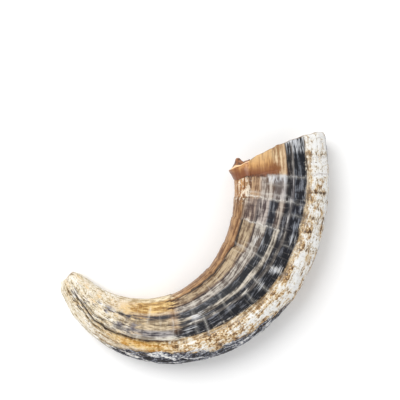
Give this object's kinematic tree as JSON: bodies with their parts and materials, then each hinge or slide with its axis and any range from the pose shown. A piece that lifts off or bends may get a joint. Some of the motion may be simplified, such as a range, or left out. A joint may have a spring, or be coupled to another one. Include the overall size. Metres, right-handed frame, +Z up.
{
  "type": "shofar",
  "caption": "Ram's horn shofar lying on its side: a hollow curled horn with an oblique open mouth, a weathered keel and a drilled blow hole in its blunt tip.",
  "frame": {"origin": "middle of the horn's box in plan, at the height of the surface that the horn lies on", "axes": "+X along the longest extent, from the tip's side to the mouth's side; +Y towards the open mouth's end of the curl; +Z up, out of the plane of the curl"},
  "size_m": [0.1894, 0.162, 0.0426],
  "materials": {
    "tip_horn": "pale, flaky natural horn with ochre streaks and fine dark cracks",
    "banded_horn": "satin natural horn with lengthwise honey, taupe and blue-black bands and pale growth lines",
    "base_horn": "satin honey-brown horn, darker red-brown at its lower edge",
    "bleached_crust": "dry bleached horn crust with gold-brown stains, dark and flaky towards the tip",
    "lip_horn": "translucent orange-brown horn with a pale torn edge"
  },
  "bodies": {
    "root": {"first_year_tip": "tip_horn", "second_year_cone": "banded_horn", "third_year_cone": "banded_horn", "fourth_year_cone": "banded_horn", "fifth_year_cone": "banded_horn", "sixth_year_cone": "banded_horn", "base_band": "base_horn", "keel_crust": "bleached_crust", "rim_lip": "lip_horn"}
  },
  "joints": []
}
